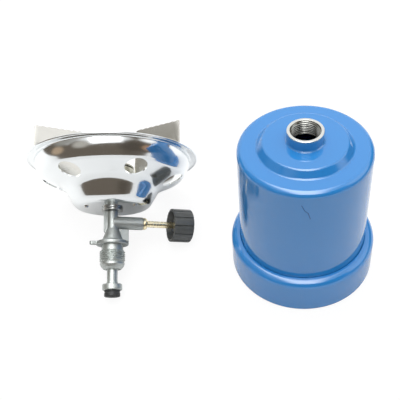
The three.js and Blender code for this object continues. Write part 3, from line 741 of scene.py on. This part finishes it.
flangeFoot, flangeTop = 40.3, 43.3  # of the casting, where the plug meets it
plugSizes = {
    "section": [
        (1.7, 12.0), (2.0, 12.0), (2.0, 7.4), (5.2, 7.4), (5.2, 5.1), (7.7, 5.1, 0.8),
        (7.7, 10.0, 1.0), (4.7, 10.0, 0.5), (4.1, 12.2, 1.5), (4.1, 21.2), (6.8, 21.2, 0.5),
        (8.4, 22.8, 1.5), (9.5, 24.8, 1.2), (9.5, 26.2, 0.3), (9.1, 26.8),
    ],
    "threadTop": 35.8, "fade": 0.7, "relief": 8.4, "reliefRun": 0.3, "gasBore": 1.7,
    "overlap": 0.2, "bendSteps": 6, "sides": 120,
}


def screwPlug(s=plugSizes):
    root, low = s["section"][-1]
    high, end = s["threadTop"], flangeFoot + s["overlap"]
    section = rounded(s["section"], s["bendSteps"]) + threadRows(root, low, high)
    section += [(s["relief"], high + s["reliefRun"]), (s["relief"], end), (s["gasBore"], end)]
    thread = helix(root, low, high, s["fade"], 1)
    plug = moved(revolved("screwPlug", section, s["sides"], thread), lay)
    finished(plug, plugZinc, "zinc_casting", "base", "valve_body", smoothAngle=50)


valveSizes = {
    "section": [
        (0, flangeFoot), (12.7, flangeFoot, 0.7), (12.7, flangeTop, 0.9), (8.8, 43.8, 0.8),
        (7.9, 44.9, 0.8), (4.3, 53.8, 3.0), (4.3, 67.6), (3.4, 67.6), (3.4, 69.9), (0, 69.9),
    ],
    "bendSteps": 6, "sides": 96, "ribTop": 67.6, "rib": 2.0, "webReach": 12.9, "webSink": 0.8,
    "finReach": 6.8, "finFoot": 51.1, "finSlope": ((0, 6), (0.75, 2)),
    "lugReach": 18.0, "lugWidth": 3.6, "lugThickness": 2.8, "lugSteps": 12,
    "melt": 0.24, "soften": 0.5, "softenRounds": 5,
    "gasBore": (1.1, 39, armHeight), "jetBore": (1.9, 67.9, 71),
}
armSizes = {
    "section": [(0, 0), (5.1, 0), (5.1, 24.3, 0.4), (0, 24.3)],
    "bendSteps": 4, "sides": 96,
    "seatBore": (1.2, 0, 7.2), "chamber": (3.7, 6.2, 25.3), "glandBore": (4.2, 19.1, 25.3),
}


def castRibs(s=valveSizes):
    # The fin and the web stand along the axis, and the lug lies flat on the flange.
    stand = Matrix.Rotation(math.pi / 2, 4, "X")
    thin, top = s["rib"] / 2, s["ribTop"]
    fin = [(-s["finReach"] * run, s["finFoot"] - drop) for run, drop in s["finSlope"]]
    fin += [(-s["finReach"], s["finFoot"]), (-s["finReach"], top), (0, top)]
    low, reach = flangeTop - s["webSink"], s["webReach"]
    web = [(0, low), (reach, low), (reach, armHeight), (0, armHeight)]
    half, lugHalf = s["lugWidth"] / 2, s["lugThickness"] / 2
    middle = (flangeFoot + flangeTop) / 2
    turns = (math.pi * (0.5 + step / s["lugSteps"]) for step in range(s["lugSteps"] + 1))
    end = [(half - s["lugReach"] + half * math.cos(t), half * math.sin(t)) for t in turns]
    return [
        moved(prism("fin", fin, -thin, thin), stand), moved(prism("web", web, -thin, thin), stand),
        prism("lug", [(0, -half), (0, half)] + end, middle - lugHalf, middle + lugHalf),
    ]


def valveCasting(s=valveSizes, a=armSizes):
    across = Matrix.Translation((0, 0, armHeight * mm)) @ Matrix.Rotation(math.pi / 2, 4, "Y")
    body = turned("valveCasting", s)
    joinedMesh(body, [moved(turned("arm", a), across), *castRibs()])
    remesh = body.modifiers.new("melt", "REMESH")
    remesh.mode = "VOXEL"
    remesh.voxel_size = s["melt"] * mm
    smooth = body.modifiers.new("soften", "SMOOTH")
    smooth.factor = s["soften"]
    smooth.iterations = s["softenRounds"]
    applied(body)
    bores = [moved(rod(name, *a[name]), across) for name in ("seatBore", "chamber", "glandBore")]
    combined(body, bores + [rod(name, *s[name]) for name in ("gasBore", "jetBore")])
    moved(body, lay)
    finished(body, casting, "zinc_casting", "base", "valve_body", smoothAngle=50)


glandSizes = {
    "section": [
        (2.9, 19.7), (3.9, 19.7), (3.9, 24.6), (4.75, 24.6, 0.25), (4.75, 26.3, 0.3),
        (4.0, 27.5, 0.3), (2.9, 27.5),
    ],
    "bendSteps": 4, "sides": 72,
    "slot": (10, 1.2, 1.4), "slotHeight": 27.5, "slotTurns": (0.5, 0.5 + math.pi / 2),
}


def gland(s=glandSizes):
    piece = slotted(turned("packingGland", s), s["slot"], s["slotHeight"], s["slotTurns"])
    finished(moved(piece, arm), armBrass, "brass", "base", "packing_gland")


spindleSizes = {
    "section": [
        (0, 4.6), (1.9, 8.4), (3.4, 8.4), (3.4, 15.0), (1.8, 15.0), (1.8, 16.9), (3.4, 16.9),
        (3.4, 17.9), (2.6, 17.9), (2.6, 58.8, 0.3), (0, 58.8),
    ],
    "bendSteps": 4, "sides": 64,
}
knobSizes = {
    "rim": [(11.3, 60.7, 0.5), (11.3, 47.8, 0.3), (13.5, 47.8, 0.6), (13.5, 64.1, 1.5), (0, 64.1)],
    "inside": [
        (0, 59.1), (2.9, 59.1), (2.9, 50.3, 0.2), (5.3, 50.3, 0.4), (5.3, 60.7, 0.4), (11.3, 60.7),
    ],
    "rimSteps": 8, "insideSteps": 4, "sides": 240,
    "fluteFoot": 11.6, "fluteRun": 1.9, "flutes": 12, "fluteDepth": 0.85, "fluteShare": 0.17,
    "fluteEase": 0.8, "crown": 0.16,
}


def knob(s=knobSizes):
    rim, inside = rounded(s["rim"], s["rimSteps"]), rounded(s["inside"], s["insideSteps"])
    lowest = knobLowest()

    def fluted(radius, height, angle):
        reach = (radius - s["fluteFoot"]) / s["fluteRun"]
        if reach <= 0:
            return radius, height
        share = ((angle - lowest) / turn * s["flutes"]) % 1
        groove = max(0, 1 - abs(share - 0.5) / (s["fluteShare"] / 2))
        crown = s["crown"] * (2 * abs((share + 0.5) % 1 - 0.5)) ** 2
        dip = s["fluteDepth"] * math.sin(groove * math.pi / 2) ** s["fluteEase"] + crown
        return radius - dip * min(reach, 1), height

    piece = moved(revolved("flutedKnob", inside[:-1] + rim[1:], s["sides"], fluted), arm)
    finished(piece, plastic, "black_plastic", "spindle", "knob", smoothAngle=45)


def knobLowest():
    # The direction, in the knob's own plane, that points most nearly at the floor.
    down = arm.to_3x3().inverted() @ Vector((0, 0, -1))
    return math.atan2(down.y, down.x)


turnedPiece("rubberTip", tipSizes, lay, rubber, "black_rubber", "base", "needle_seal")
screwPlug()
valveCasting()
gland()
turnedPiece("brassSpindle", spindleSizes, arm, armBrass, "brass", "spindle", "spindle")
knob()
print("stage: valve and knob made")


# Mixing tube and dish

tubeSizes = {
    "section": [
        (3.7, 67.9), (8.4, 67.9, 0.25), (8.4, 69.8, 0.25), (6.5, 69.8), (6.5, 89.1, 0.2),
        (5.3, 89.1), (5.3, 69.3), (7.2, 69.3), (7.2, 68.4), (3.7, 68.4),
    ],
    "bendSteps": 3, "sides": 96,
    "window": (24, 3.8, 0.8), "windowHeight": 68.8,
    "windowTurns": (0, math.pi / 3, math.pi * 2 / 3),
}


def mixingTube(s=tubeSizes):
    tube = slotted(turned("mixingTube", s), s["window"], s["windowHeight"], s["windowTurns"])
    finished(moved(tube, lay), plainSteel, "steel", "base", "mixing_tube")


dishSizes = {
    "hole": 6.8, "floor": 69.8, "foot": (28.8, 69.8, 9), "cup": (38.0, 86.2, 16),
    "knee": (56.4, 95.0, 8), "bowl": (61.2, 102.6, 22), "crease": (62.3, 109.0, 1),
    "rim": 68.2, "rimHeight": 109.5, "bead": 0.9, "beadStart": -150, "beadSweep": 300,
    "beadSteps": 20, "wall": 1.0, "bendSteps": 16, "sides": 216, "faceLength": 2.5,
    "turnDegrees": 189.7, "blades": 3, "tabSlot": (3.6, 2.1, 4), "tabPlace": 21.9,
    "vent": 8.75, "ventPlace": (48.3, 91.1), "ventTurn": -2, "ventSpread": 31.2, "ventReach": 3,
    "ventSides": 96,
}
dishTurn = math.radians(dishSizes["turnDegrees"])


def dishCorners(s=dishSizes):
    last = (s["rim"] - s["bead"], s["rimHeight"] - s["wall"] / 2)
    return [(s["hole"], s["floor"]), s["foot"], s["cup"], s["knee"], s["bowl"], s["crease"], last]


def evenly(line, step):
    # Adds points on long straights, so that the faces round a cut hole stay small.
    made = [line[0]]
    for a, b in zip(line, line[1:]):
        count = max(1, round(math.dist(a, b) / step))
        made += [tuple(Vector(a).lerp(Vector(b), i / count)) for i in range(1, count + 1)]
    return made


def dish(s=dishSizes):
    corners = dishCorners()
    bead = []
    for step in range(s["beadSteps"] + 1):
        angle = math.radians(s["beadStart"] + s["beadSweep"] * step / s["beadSteps"])
        bead.append((s["rim"] - s["bead"] + s["bead"] * math.cos(angle),
                     s["rimHeight"] + s["bead"] * math.sin(angle)))
    under = rounded(corners, s["bendSteps"])[:-1]
    over = rounded(beside(corners, s["wall"]), s["bendSteps"])[:-1][::-1]
    section = evenly(under, s["faceLength"]) + bead + evenly(over, s["faceLength"])
    pan = revolved("chromedDish", section, s["sides"])
    slope = Vector(s["knee"][:2]) - Vector(s["cup"][:2])
    lean = Matrix.Rotation(math.atan2(slope.x, slope.y) - math.pi / 2, 4, "Y")
    vent = Vector(s["ventPlace"])
    cutters = []
    for i in range(s["blades"]):
        first = dishTurn + turn * i / s["blades"]
        slot = block("tabSlot", s["tabSlot"], (s["tabPlace"], 0, s["floor"]))
        cutters.append(moved(slot, along(first)))
        middle = first + math.pi / s["blades"] + math.radians(s["ventTurn"])
        for side in (-1, 1):
            drill = rod("vent", s["vent"], -s["ventReach"], s["ventReach"], s["ventSides"])
            angle = middle + side * math.radians(s["ventSpread"])
            cutters.append(moved(moved(drill, lean), along(angle, *vent)))
    combined(pan, cutters)
    finished(pan, chrome, "chromed_steel", "base", "dish", smoothAngle=0)
    turnedNormals(pan, section)
    moved(pan, lay)


nutSizes = {
    "flats": 8.58, "foot": 70.85, "height": 3.2, "chamfer": (1.0, 0.5), "sides": 96,
    "hole": (6.8, 69.85, 75.05, 72),
}


def lockNut(s=nutSizes):
    foot, top = s["foot"], s["foot"] + s["height"]
    corner = s["flats"] / math.cos(math.pi / 6)
    outline = [(corner * math.cos(turn * i / 6), corner * math.sin(turn * i / 6)) for i in range(6)]
    nut = prism("dishLockNut", outline, foot, top)
    run, rise = s["chamfer"]
    envelope = revolved("chamfer", rounded([
        (0, foot), (corner - run, foot), (corner, foot + rise), (corner, top - rise),
        (corner - run, top), (0, top),
    ]), s["sides"])
    combined(nut, [envelope], "INTERSECT")
    combined(nut, [rod("hole", *s["hole"])])
    moved(nut, lay)
    finished(nut, zincPlate, "zinc_plate", "base", "dish_lock_nut", smoothAngle=25)


# Burner head

cupSizes = {
    "section": [
        (6.8, 83.1), (8.4, 83.1, 0.3), (8.4, 89.1, 1.0), (17.0, 96.1, 3.0), (17.0, 101.3, 0.3),
        (16.0, 101.3, 0.3), (16.0, 97.1, 0.8), (5.3, 90.4), (5.3, 89.4), (6.8, 89.4),
    ],
    "bendSteps": 6, "sides": 96,
}
ringSizes = {
    "waves": 24, "stepsPerWave": 10, "middle": 14.55, "thickness": 0.5, "wave": 0.88,
    "foot": 97.4, "top": 102.0,
}


def flameRing(s=ringSizes):
    count = s["waves"] * s["stepsPerWave"]
    points = []
    for z in (s["foot"], s["top"]):
        for side in (-1, 1):
            for i in range(count):
                angle = turn * i / count
                radius = s["middle"] + side * s["thickness"] / 2
                reach = radius + s["wave"] * math.cos(s["waves"] * angle)
                points.append((reach * math.cos(angle), reach * math.sin(angle), z))
    faces = []
    for i in range(count):
        a, b, c, d = (i + row * count for row in range(4))
        e, f, g, h = ((i + 1) % count + row * count for row in range(4))
        faces += [(a, e, f, b), (c, d, h, g), (b, f, h, d), (a, c, g, e)]
    ring = moved(meshObject("flameRing", points, faces), lay)
    finished(ring, plainSteel, "steel", "base", "burner_flame_ring")


capSizes = {
    "section": [
        (0, 102.3), (11.6, 102.3), (11.6, 100.7), (13.0, 100.7), (13.0, 102.3),
        (17.0, 102.3, 0.3), (17.0, 103.5, 0.4), (13.0, 105.1, 4.0), (4.5, 105.1, 0.8),
        (3.9, 104.6, 0.5), (0, 104.6),
    ],
    "bendSteps": 6, "sides": 96,
}


# Pan supports

bladeSizes = {
    "inner": 20.4, "outer": 64.4, "top": 130.3, "lean": 4.0, "thickness": 1.5, "tab": 3.0,
    "tabDrop": 1.0, "pitch": 5.0, "depth": 0.7, "land": 1.5, "seat": 0.3, "edge": 0.12,
    "edgeSteps": 2, "edgeAngle": 20, "bendSteps": 10,
}


def bladeOutline(s=bladeSizes, d=dishSizes):
    bed = rounded(beside(dishCorners(), d["wall"] + s["seat"]), s["bendSteps"])
    radii, heights = zip(*bed)
    tabEnd = s["inner"] + s["tab"]
    low = d["floor"] - s["tabDrop"]
    line = [(s["inner"], low), (tabEnd, low), (tabEnd, float(np.interp(tabEnd, radii, heights)))]
    line += [point for point in bed if tabEnd < point[0] < s["outer"]]
    line.append((s["outer"], float(np.interp(s["outer"], radii, heights))))
    topEnd = s["inner"] + s["lean"]
    teeth = int((s["outer"] - topEnd) / s["pitch"])
    pitch = (s["outer"] - topEnd) / teeth
    for tooth in range(teeth):
        start = s["outer"] - tooth * pitch
        line += [(start, s["top"]), (start - s["land"], s["top"])]
        line.append((start - pitch, s["top"] - s["depth"]))
    return line


def panSupport(number, s=bladeSizes):
    half = s["thickness"] / 2
    blade = prism(f"panSupport{number}", bladeOutline(), -half, half)
    moved(blade, Matrix.Rotation(math.pi / 2, 4, "X"))
    bevelled(blade, s["edge"], s["edgeSteps"], s["edgeAngle"])
    angle = dishTurn + turn * (number - 1) / dishSizes["blades"]
    moved(blade, lay @ along(angle))
    finished(blade, zincPlate, "zinc_plate", "base", f"pan_support_{number}", smoothAngle=30)


mixingTube()
dish()
lockNut()
turnedPiece("burnerCup", cupSizes, lay, heatBrass, "brass", "base", "burner_cup")
flameRing()
turnedPiece("burnerCap", capSizes, lay, heatBrass, "brass", "base", "burner_cap")
for number in (1, 2, 3):
    panSupport(number)
print("stage: dish and burner made")


# Inner pieces whose solids have the right shape keep them, with a finish of their own
innerFinishes = {
    "collar_washer": washerSteel, "piercing_needle": plainSteel, "inlet_filter": brass,
    "spindle_o_ring": rubber, "gas_jet": brass,
}
for name, material in innerFinishes.items():
    for materialSlot in frame["nodes"][name].material_slots:
        materialSlot.material = material


# Studio: white floor and surroundings, light from above and behind, and a dark room in front

studio = {
    # floorFront and floorBack grade the floor's colour from front to back: painted shade.
    "floorSize": 1.6, "floorShadow": 0.12, "floorFront": 0.58, "floorBack": 0.8,
    "floorFade": 0.15, "floorGlow": 1.03,
    "around": (1.0, 1.0, 1.0), "softbox": (5.5, 5.5, 5.5), "softboxMiddle": -0.03,
    "softboxSide": (0.46, 0.1), "softboxFront": (-0.76, -0.58), "softboxBack": (0.5, 0.25),
    "softboxFoot": (0.1, 0.3),
    "room": (0.15, 0.125, 0.1), "roomFront": (-0.15, -0.38), "roomFoot": (-0.4, -0.3),
    "roomTop": (0.8, 0.62), "roomSide": (0.8, 0.6), "roomSideTop": (0.52, 0.38),
}
patches = [
    # direction, half angles of the full and the faded part, colour
    ((0.53, -0.76, 0.35), 8, 26, (0.09, 0.075, 0.06)),
    ((-0.62, -0.55, 0.56), 5, 16, (0.5, 0.47, 0.42)),
    ((0.84, -0.03, 0.54), 14, 26, (1.35, 1.35, 1.35)),
    ((0.79, -0.59, 0.15), 4, 12, (0.44, 0.27, 0.16)),
    ((-0.97, -0.22, 0.10), 5, 14, (0.48, 0.36, 0.25)),
    ((-0.81, 0.07, 0.58), 14, 26, (0.34, 0.33, 0.3)),
]


def forCamera(tree, share, lit, shown, outKind):
    # The camera sees one thing by a share, and the light comes from another.
    path = node(tree, "ShaderNodeLightPath")
    seen = product(tree, path.outputs["Is Camera Ray"], share)
    mix = node(tree, "ShaderNodeMixShader")
    for socket, value in zip(mix.inputs, (seen, lit.outputs[0], shown.outputs[0])):
        tree.links.new(value, socket)
    node(tree, outKind, in_Surface=mix.outputs[0])


def makeFloor(s=studio):
    half = s["floorSize"] / 2 / mm
    corners = [(-half, -half, 0), (half, -half, 0), (half, half, 0), (-half, half, 0)]
    floor = meshObject("floor", corners, [(0, 1, 2, 3)])
    material = bpy.data.materials.new("whiteFloor")
    material.use_nodes = True
    tree = material.node_tree
    tree.nodes.clear()
    depth = coordinates(tree, node(tree, "ShaderNodeTexCoord").outputs["Object"])["Y"]
    # The floor's diffuse colour darkens from back to front: painted shade for light that falls off towards the
    # front.
    paintedFloorShade = spread(tree, depth, -s["floorFade"], s["floorFade"], s["floorFront"], s["floorBack"])
    diffuse = node(tree, "ShaderNodeBsdfDiffuse", in_Color=paintedFloorShade)
    glow = node(tree, "ShaderNodeEmission", in_Color=(1, 1, 1, 1), in_Strength=s["floorGlow"])
    forCamera(tree, 1 - s["floorShadow"], diffuse, glow, "ShaderNodeOutputMaterial")
    floor.data.materials.append(material)


def makeWorld(s=studio):
    world = bpy.data.worlds.new("studio")
    bpy.context.scene.world = world
    world.use_nodes = True
    tree = world.node_tree
    tree.nodes.clear()
    place = node(tree, "ShaderNodeTexCoord").outputs["Generated"]
    x, y, z = coordinates(tree, place)
    front = product(tree, spread(tree, y, *s["roomFront"]), spread(tree, z, *s["roomTop"]))
    sides = product(tree, spread(tree, y, *s["roomSide"]), spread(tree, z, *s["roomSideTop"]))
    walls = math2(tree, "MAXIMUM", front, sides)
    room = product(tree, walls, spread(tree, z, *s["roomFoot"]))
    colour = mixed(tree, room, s["around"], s["room"])
    for direction, inner, outer, tone in patches:
        facing = dotProduct(tree, place, Vector(direction).normalized())
        near, far = (math.cos(math.radians(angle)) for angle in (inner, outer))
        colour = mixed(tree, spread(tree, facing, far, near), colour, tone)
    aside = math2(tree, "ABSOLUTE", math2(tree, "SUBTRACT", x, s["softboxMiddle"]))
    edges = ((aside, "softboxSide"), (y, "softboxFront"), (y, "softboxBack"), (z, "softboxFoot"))
    above = product(tree, *(spread(tree, value, *s[label]) for value, label in edges))
    lit = node(tree, "ShaderNodeBackground", in_Color=mixed(tree, above, colour, s["softbox"]))
    white = node(tree, "ShaderNodeBackground", in_Color=(1, 1, 1, 1), in_Strength=1.0)
    forCamera(tree, 1.0, lit, white, "ShaderNodeOutputWorld")


cameraSizes = {
    "lens": 63.0, "sensor": 36.0, "distance": 609.8, "elevation": 45.5, "roll": 6.47,
    "lookAt": (-75.17, 72.98, 0.0), "nearest": 10,
}


def makeCamera(s=cameraSizes):
    lift, roll = math.radians(s["elevation"]), math.radians(s["roll"])
    ahead = Vector((0, math.cos(lift), -math.sin(lift)))
    up = Vector((0, math.sin(lift), math.cos(lift)))
    right = Vector((1, 0, 0))
    turnedRight = right * math.cos(roll) - up * math.sin(roll)
    turnedUp = right * math.sin(roll) + up * math.cos(roll)
    data = bpy.data.cameras.new("camera")
    data.lens = s["lens"]
    data.sensor_width = s["sensor"]
    data.clip_start = s["nearest"] * mm
    camera = bpy.data.objects.new("camera", data)
    bpy.context.scene.collection.objects.link(camera)
    place = (Vector(s["lookAt"]) - ahead * s["distance"]) * mm
    axes = Matrix((turnedRight, turnedUp, -ahead)).transposed().to_4x4()
    camera.matrix_world = Matrix.Translation(place) @ axes
    bpy.context.scene.camera = camera


makeFloor()
makeWorld()
makeCamera()
bpy.context.scene.view_settings.view_transform = "Standard"
print("stage: studio made")
